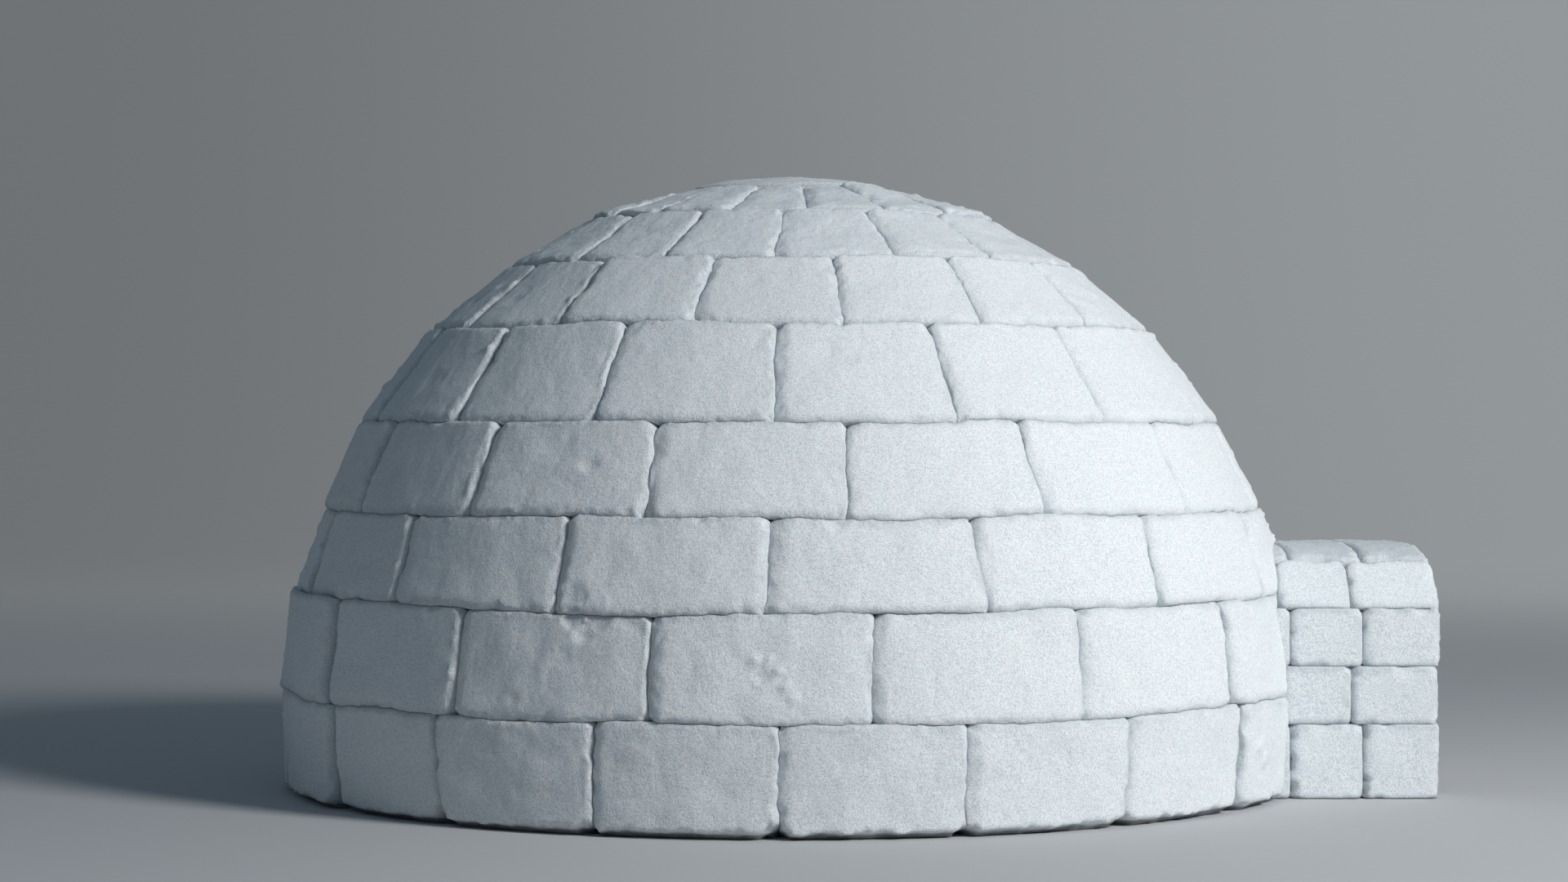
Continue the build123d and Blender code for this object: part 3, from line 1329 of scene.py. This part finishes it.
    def chips_for(
        self, course: int, start: float, end: float, size: Vector, chance: random.Random
    ) -> list[Chip]:
        """The flakes that a block has lost, and the lumps it carries.

        Args:
            course: The block's course, counted from 0.
            start: The bearing of its first side.
            end: The bearing of its last side.
            size: The flat block's length, height and depth.
            chance: The block's own source of chance.

        Returns:
            Its chips, some along its edges, and the scars that fall on it.
        """
        chips = []
        for _ in range(chance.randint(*self.flakes)):
            on_side = chance.random() < self.upright_flakes
            along = chance.choice((0.0, size.x)) if on_side else chance.uniform(0, size.x)
            up = chance.uniform(0, size.y) if on_side else chance.choice((0.0, size.y))
            share = self.top_flaking if course > 5 else 1.0
            chips.append(EDGE_FLAKE.draw(along, up, chance, share))
        middle = (start + end) / 2
        in_shade = self.shade[0] < middle < self.shade[1]
        for _ in range(chance.randint(*self.joint_lumps) if in_shade else 0):
            along = size.x - chance.uniform(0.008, 0.020)
            chips.append(JOINT_LUMP.draw(along, chance.uniform(0.08, 0.92) * size.y, chance))
        on_outline = self.outline[0] < abs(turned_back(middle)) < self.outline[1]
        for _ in range(self.face_lumps[0 if course < 5 else 1] if on_outline else 0):
            along, up = (chance.uniform(0.0, 1.0) * side for side in size.xy)
            chips.append(FACE_LUMP.draw(along, up, chance))
        if chance.random() < self.dented:
            along, up = (chance.uniform(0.2, 0.8) * side for side in size.xy)
            chips.append(FACE_DENT.draw(along, up, chance))
        if course == 0:
            chips += [FOOT_CORNER.draw(along, 0.0, chance) for along in (0.0, size.x)]
        for scar in self.scars:
            if scar.course == course + 1 and start <= scar.bearing <= end:
                along = (scar.bearing - start) / (end - start) * size.x
                wear = (scar.radius, scar.depth, scar.stretch, scar.softness)
                chips.append(Chip(along, scar.up * size.y, *wear))
        return chips

    @staticmethod
    def shoulders(course: int, edge: float, chance: random.Random) -> Shoulders:
        """The slopes of a block's face, with an undercut foot on the ground.

        Args:
            course: The block's course, counted from 0.
            edge: How deep its upright joints are worn, as a share.
            chance: The block's own source of chance.

        Returns:
            The slopes to its first side, last side, bottom and top.
        """
        first = Shoulder(chance.uniform(0.040, 0.058), edge * chance.uniform(0.017, 0.024))
        last = Shoulder(chance.uniform(0.020, 0.030), edge * chance.uniform(0.012, 0.017))
        bottom = Shoulder(0.034, 0.005 if course == 7 else 0.011)
        if course == 0:
            bottom = Shoulder(0.027, 0.048, 0.5)
        return first, last, bottom, Shoulder(0.024, 0.008)

    def build_course(self, course: int) -> bpy.types.Object:
        """Builds one ring of blocks as a piece.

        Args:
            course: The course, counted from 0.

        Returns:
            The piece.
        """
        mesh = snow_mesh()
        plan, low, high = self.plans[course], self.beds[course], self.beds[course + 1]
        lines = self.joints(course)
        for at, (first, last) in enumerate(zip(lines, lines[1:] + lines[:1])):
            if first.at_entrance == -1 and last.at_entrance == 1:
                continue
            if last.bearing < first.bearing:
                last = JointLine(last.bearing + 360, last.key, last.at_entrance)
            chance = random.Random(1000 * course + at)
            arc = math.radians(last.bearing - first.bearing)
            along = arc * (low.outer.x + high.outer.x) / 2
            size = Vector((along, (high.outer - low.outer).length, self.wall))
            block = SnowBlock(
                length=size.x,
                height=size.y,
                depth=size.z,
                seed=course * 31.0 + at * 7.3,
                arrises=(0.007, 0.007, 0.008, 0.008),
                shoulders=self.shoulders(course, plan.edge, chance),
                relief=plan.relief,
                # crumble gives the top courses crumb bumps and some of the shade painted into the
                # joints all over.
                crumble=self.top_crumble if course > 5 else 0.0,
                # foot is the height of the shade painted at the foot of the ground course.
                foot=0.018 if course == 0 else 0.0,
                stand=self.stand(course, (first.bearing + last.bearing) / 2, chance),
                joint_seeds=(first.key * 0.71, last.key * 0.71),
                lean=chance.uniform(-0.008, 0.008),
                chips=self.chips_for(course, first.bearing, last.bearing, size, chance),
            )
            block.carve(mesh, self.placer(course, first, last, size))
        return finished_piece(f"dome_course_{course + 1}", mesh, self.finish)

    def build(self) -> None:
        """Builds every course and the king block."""
        for course in range(len(self.plans)):
            self.build_course(course)
        top = self.widest_level + self.crown_rise
        KingBlock(self.finish, self.beds[-1], self.axis_x, top, top - self.room).build()


# ------------------------------------------------------------------------ the tunnel


class Side(Enum):
    """A side wall of the tunnel, by its sign along Y."""

    LEFT = 1
    RIGHT = -1


class Ring(Enum):
    """A ring of the tunnel, from the dome's wall out to the mouth."""

    DOORWAY = "doorway"
    PASSAGE = "passage"
    MOUTH = "mouth"


class Row(Enum):
    """A row of the tunnel's side walls, from the ground up."""

    BASE = 0
    MIDDLE = 1
    UPPER = 2
    HAUNCH = 3


@dataclass
class Tunnel:
    """The low entrance tunnel: three rings of wall, haunch and crown blocks.

    setbacks are how far each row's mouth lies in, and the haunches' is the crown's too.
    """

    finish: bpy.types.Material
    vault: Vault
    margin: tuple[float, ...] = (0.0, 0.007, 0.015, 0.025)
    rings: tuple[float, ...] = (
        0.007, 0.015, 0.027, 0.045, 0.07, 0.1, 0.13, 0.155, 0.173, 0.185, 0.193,
    )
    most_x: float = CAD_BOUNDS[1][0] - 0.0004
    setbacks: tuple[float, ...] = (0.006, 0.011, 0.0, 0.005)

    def section(self, row: Row) -> tuple[Vector, Vector, Vector, Vector]:
        """A row's corners as distance from the middle and height.

        Args:
            row: The row.

        Returns:
            Its low outer, high outer, high inner and low inner corner.
        """
        vault = self.vault
        low_out = Vector((vault.half_width, vault.springing))
        high_out = Vector((vault.shoulder, vault.haunch_top))
        up = (high_out - low_out).normalized()
        start = low_out + Vector((-up.y, up.x)) * vault.thickness
        inner_side = vault.half_width - vault.thickness
        low_in = start + up * ((inner_side - start.x) / up.x)
        high_in = start + up * ((high_out.y - vault.thickness - start.y) / up.y)
        if row is Row.HAUNCH:
            return low_out, high_out, high_in, low_in
        bottom, top = vault.rows[row.value], vault.rows[row.value + 1]
        return (
            Vector((vault.half_width, bottom)),
            Vector((vault.half_width, top)),
            low_in if row is Row.UPPER else Vector((inner_side, top)),
            Vector((inner_side, bottom)),
        )

    def notches(self, row: Row, size: Vector, dome_end: float) -> list[Chip]:
        """The flakes lost from a side block, more of them low down beside the dome.

        Args:
            row: The block's row.
            size: The flat block's length, height and depth.
            dome_end: The local x of its end at the dome.

        Returns:
            The chips.
        """
        chance = random.Random(f"{row.name}{size.x:.3f}{dome_end:.3f}")
        count, share = (5, 1.0) if row is Row.BASE else (1, 0.5)
        chips = []
        for _ in range(count):
            up = chance.uniform(0.1, 0.9) * size.y
            chips.append(TUNNEL_NOTCH.draw(dome_end, up, chance, share))
        for _ in range(2):
            along = chance.uniform(0.1, 0.9) * size.x
            chips.append(BED_NOTCH.draw(along, chance.choice((0.0, size.y)), chance))
        return chips

    def build_block(
        self, name: str, ring: Ring, forward: bool, size: Vector, place: Placer, **wear: object
    ) -> bpy.types.Object:
        """Builds one block of the tunnel as a piece.

        Args:
            name: The CAD node's name.
            ring: The block's ring.
            forward: Whether its local x goes towards the mouth.
            size: The flat block's length, height and depth.
            place: Puts a point of the flat block on the ring.
            wear: The block's other fields.

        Returns:
            The piece.
        """
        ends = (ring is Ring.DOORWAY, ring is Ring.MOUTH)
        block = SnowBlock(
            length=size.x,
            height=size.y,
            depth=size.z,
            seed=own_number(name),
            worn_back=True,
            margin=self.margin,
            rings=self.rings,
            open_ends=ends if forward else ends[::-1],
            **wear,
        )
        mesh = snow_mesh()
        block.carve(mesh, place)
        return finished_piece(name, mesh, self.finish)

    def build_side_block(self, ring: Ring, row: Row, side: Side) -> bpy.types.Object:
        """Builds one block of a side wall or haunch as a piece.

        Args:
            ring: Its ring.
            row: Its row.
            side: Its side.

        Returns:
            The piece.
        """
        name = f"{ring.value}_{row.name.lower()}_block_{side.name.lower()}"
        low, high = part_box(name)
        low_out, high_out, high_in, low_in = self.section(row)
        rise = (high_out - low_out).length
        size = Vector((high[0] - low[0], rise, self.vault.thickness))
        forward = side is Side.RIGHT
        chance = random.Random(own_number(name))
        ends, setback = (0.007, 0.006), 0.0
        if ring is Ring.MOUTH:
            ends = (0.007, 0.022 if row is Row.HAUNCH else 0.030)
            setback = self.setbacks[row.value]
        slopes = (
            Shoulder(chance.uniform(0.030, 0.042), chance.uniform(0.011, 0.015)),
            Shoulder(chance.uniform(0.018, 0.026), chance.uniform(0.007, 0.010)),
        )
        if not forward:
            ends, slopes = ends[::-1], slopes[::-1]

        def place(point: Vector) -> Vector:
            """Puts one point of the flat block in the wall.

            Args:
                point: The point.

            Returns:
                Its place.
            """
            up, inward = point.y / size.y, -point.z / size.z
            spot = low_out.lerp(high_out, up).lerp(low_in.lerp(high_in, up), inward)
            along = low[0] + point.x if forward else high[0] - point.x
            along -= setback * eased(along, low[0], high[0])
            return Vector((min(along, self.most_x), side.value * spot.x, max(spot.y, 0.0)))

        return self.build_block(
            name, ring, forward, size, place,
            arrises=(*ends, 0.005, 0.005),
            shoulders=(*slopes, Shoulder(0.016, 0.0045), Shoulder(0.012, 0.003)),
            stand=(chance.uniform(-0.004, 0.004), chance.uniform(-0.004, 0.004)),
            corner=0.036,
            chips=self.notches(row, size, 0.0 if forward else size.x),
            relief=0.008,
            # foot is the height of the shade painted at the foot of the base row.
            foot=0.006 if row is Row.BASE else 0.0,
        )

    def build_crown_block(self, ring: Ring) -> bpy.types.Object:
        """Builds the block that bridges one ring as a piece.

        Args:
            ring: Its ring.

        Returns:
            The piece.
        """
        name = f"{ring.value}_crown_block"
        low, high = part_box(name)
        _, high_out, high_in, _ = self.section(Row.HAUNCH)
        size = Vector((high[0] - low[0], 2 * high_out.x, self.vault.thickness))
        last_end, setback = 0.009, 0.0
        if ring is Ring.MOUTH:
            last_end, setback = 0.042, self.setbacks[Row.HAUNCH.value]

        def place(point: Vector) -> Vector:
            """Puts one point of the flat block on the ring.

            Args:
                point: The point.

            Returns:
                Its place.
            """
            share, inward = 2 * point.y / size.y - 1, -point.z / size.z
            across = share * high_out.x
            outer = Vector((across, self.vault.crown_height(across)))
            spot = outer.lerp(Vector((share * high_in.x, high_in.y)), inward)
            along = low[0] + point.x
            along -= setback * eased(along, low[0], high[0])
            return Vector((min(along, self.most_x), spot.x, spot.y))

        return self.build_block(
            name, ring, True, size, place,
            arrises=(0.009, last_end, 0.010, 0.010),
            shoulders=(
                Shoulder(0.03, 0.016),
                Shoulder(0.02, 0.009),
                Shoulder(0.03, 0.010),
                Shoulder(0.03, 0.010),
            ),
            chips=[
                Chip(0.3 * size.x, 0.0, 0.05, 0.016, 1.8),
                Chip(size.x, 0.06, 0.035, 0.014, 1.0),
                Chip(0.8 * size.x, size.y, 0.04, 0.012, 1.5),
            ],
            relief=0.010,
            # crumble gives the crown crumb bumps and the shade painted into the joints all over
            # its face.
            crumble=0.75,
        )

    def build(self) -> None:
        """Builds the three rings."""
        for ring in Ring:
            for row in Row:
                for side in Side:
                    self.build_side_block(ring, row, side)
            self.build_crown_block(ring)


# ------------------------------------------------------------------------ the studio


@dataclass
class Studio:
    """A pale floor that rises into a round backdrop, the key light and the camera."""

    dome_axis: Vector
    floor_radius: float = 24.0
    sweep: float = 8.0
    sweep_steps: int = 12
    wall_height: float = 16.0
    camera_distance: float = 12.71
    camera_height: float = 1.357
    camera_side: float = -0.028
    lens: float = 72.96
    sensor_width: float = 36.0
    pitch: float = -0.012
    key_bearing: float = 48.0
    key_rise: float = 28.5
    key_distance: float = 16.0
    key_target: float = 0.9
    key_size: float = 3.8
    key_power: float = 1920.0
    key_tint: Tint = (1.0, 0.99, 0.985)
    sky_tint: Tint = (0.545, 0.785, 1.0)
    sky_strength: float = 0.152

    def build_floor(self) -> None:
        """Spins the floor and its backdrop."""
        profile = [Vector((0.0, 0.0, 0.0)), Vector((self.floor_radius, 0.0, 0.0))]
        for step in range(1, self.sweep_steps + 1):
            turn = math.radians(90 * step / self.sweep_steps)
            out = self.floor_radius + self.sweep * math.sin(turn)
            profile.append(Vector((out, 0.0, self.sweep * (1 - math.cos(turn)))))
        profile.append(Vector((self.floor_radius + self.sweep, 0.0, self.wall_height)))
        mesh = bmesh.new()
        spin(mesh, profile)
        bmesh.ops.reverse_faces(mesh, faces=mesh.faces[:])
        mesh_object("studio_floor", mesh, StudioFinish("studio_sweep").material())

    def build_lights(self) -> None:
        """Sets a soft low key light and a dim cold fill from all round."""
        bearing, rise = math.radians(self.key_bearing), math.radians(self.key_rise)
        level = Vector((math.sin(bearing), -math.cos(bearing), 0.0))
        away = level * math.cos(rise) + Vector((0.0, 0.0, math.sin(rise)))
        key = bpy.data.lights.new("key", "AREA")
        key.shape = "DISK"
        key.size = self.key_size
        key.energy = self.key_power
        key.color = self.key_tint
        lamp = in_scene("key", key)
        target = self.dome_axis + Vector((0.0, 0.0, self.key_target))
        lamp.location = target + away * self.key_distance
        lamp.rotation_euler = away.to_track_quat("Z", "Y").to_euler()

        world = bpy.data.worlds.new("studio_air")
        world.use_nodes = True
        background = world.node_tree.nodes["Background"]
        background.inputs["Color"].default_value = (*self.sky_tint, 1.0)
        background.inputs["Strength"].default_value = self.sky_strength
        bpy.context.scene.world = world

    def build_camera(self) -> None:
        """Sets the camera level with a standing person's chest, square to the tunnel."""
        data = bpy.data.cameras.new("view")
        data.lens = self.lens
        data.sensor_width = self.sensor_width
        camera = in_scene("view", data)
        offset = Vector((self.camera_side, -self.camera_distance, self.camera_height))
        camera.location = self.dome_axis + offset
        camera.rotation_euler = (math.radians(90 + self.pitch), 0.0, 0.0)
        bpy.context.scene.camera = camera

    def build(self) -> None:
        """Builds the floor, lights and camera."""
        bpy.context.scene.view_settings.view_transform = "Standard"
        self.build_floor()
        self.build_lights()
        self.build_camera()


def main() -> None:
    """Builds the igloo and its studio."""
    logging.basicConfig(level=logging.INFO, format="%(message)s")
    snow = SnowFinish("packed_snow").material()
    vault = Vault()
    dome = Dome(snow, vault)
    dome.build()
    Tunnel(snow, vault).build()
    Studio(Vector((dome.axis_x, 0.0, 0.0))).build()


if __name__ == "__main__":
    main()
